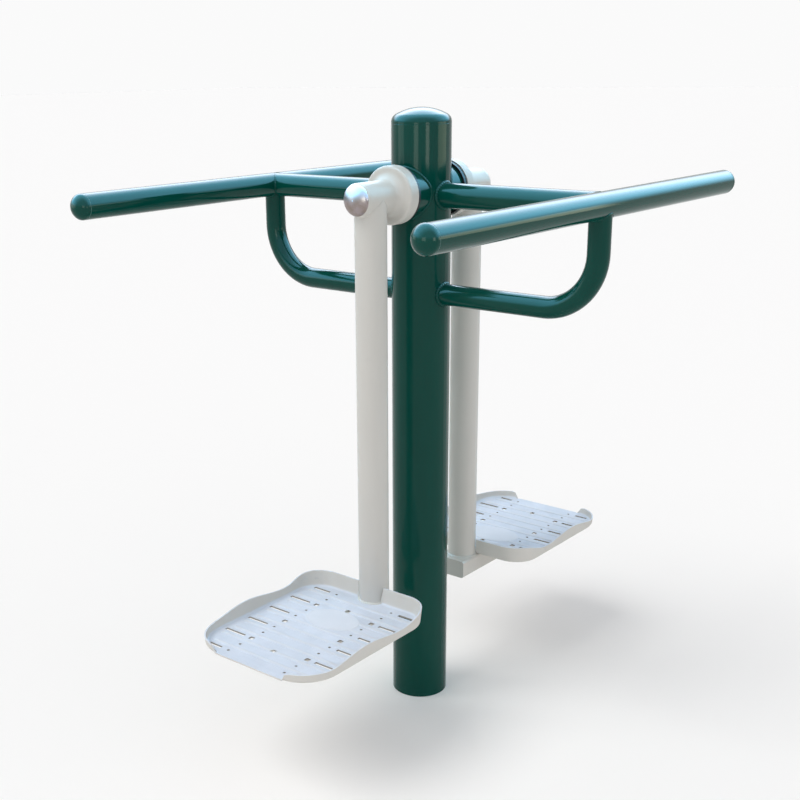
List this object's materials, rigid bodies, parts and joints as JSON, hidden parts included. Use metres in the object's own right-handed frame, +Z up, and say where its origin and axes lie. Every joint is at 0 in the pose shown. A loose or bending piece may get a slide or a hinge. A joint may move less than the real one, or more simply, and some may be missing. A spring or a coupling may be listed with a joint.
{
  "type": "outdoor swing board trainer",
  "caption": "Steel post with handlebars on braced side arms and foot trays on pendulum arms that swing sideways from hubs on the post, for outdoor standing exercise.",
  "frame": {"origin": "centre of the post's foot, at ground level", "axes": "+Z up along the post, X along the arms to the right handlebar, Y along the pivot axle and the handlebars, towards the rear swing"},
  "size_m": [0.8104, 1.046, 1.204],
  "materials": {
    "green_paint": "glossy dark green powder coat",
    "cream_paint": "satin warm white powder coat",
    "bright_steel": "polished",
    "steel": "machined",
    "black_rubber": "matt"
  },
  "bodies": {
    "frame": {"main_post": "green_paint", "post_cap": "green_paint", "axle": "steel", "right_arm": "green_paint", "right_handlebar": "green_paint", "right_brace": "green_paint", "left_arm": "green_paint", "left_handlebar": "green_paint", "left_brace": "green_paint", "right_handle_rear_cap": "green_paint", "right_handle_front_cap": "green_paint", "left_handle_rear_cap": "green_paint", "left_handle_front_cap": "green_paint", "rear_pivot_stub": "green_paint", "rear_stub_plate": "green_paint", "rear_dust_ring": "black_rubber", "rear_stop_block": "steel", "rear_bearing_inner_rings": "steel", "rear_inner_spacer": "steel", "rear_axle_washer": "steel", "rear_axle_nut": "steel", "front_pivot_stub": "green_paint", "front_stub_plate": "green_paint", "front_dust_ring": "black_rubber", "front_stop_block": "steel", "front_bearing_inner_rings": "steel", "front_inner_spacer": "steel", "front_axle_washer": "steel", "front_axle_nut": "steel"},
    "rear_swing": {"rear_hub_cup": "cream_paint", "rear_hub_tube": "cream_paint", "rear_hub_cap": "bright_steel", "rear_bearing_outer_rings": "steel", "rear_outer_spacer": "steel", "rear_stop_lugs": "steel", "rear_stop_buffers": "black_rubber", "rear_swing_arm": "cream_paint", "rear_carrier": "cream_paint", "rear_carrier_end_plates": "cream_paint", "rear_pedal": "cream_paint"},
    "front_swing": {"front_hub_cup": "cream_paint", "front_hub_tube": "cream_paint", "front_hub_cap": "bright_steel", "front_bearing_outer_rings": "steel", "front_outer_spacer": "steel", "front_stop_lugs": "steel", "front_stop_buffers": "black_rubber", "front_swing_arm": "cream_paint", "front_carrier": "cream_paint", "front_carrier_end_plates": "cream_paint", "front_pedal": "cream_paint"}
  },
  "joints": [
    {"name": "rear_swing_pivot", "type": "hinge", "parent": "frame", "child": "rear_swing", "pos_m": [0, 0.13, 1.05], "axis": [0, 1, 0], "range_deg": [-45, 45]},
    {"name": "front_swing_pivot", "type": "hinge", "parent": "frame", "child": "front_swing", "pos_m": [0, -0.13, 1.05], "axis": [0, 1, 0], "range_deg": [-45, 45]}
  ]
}
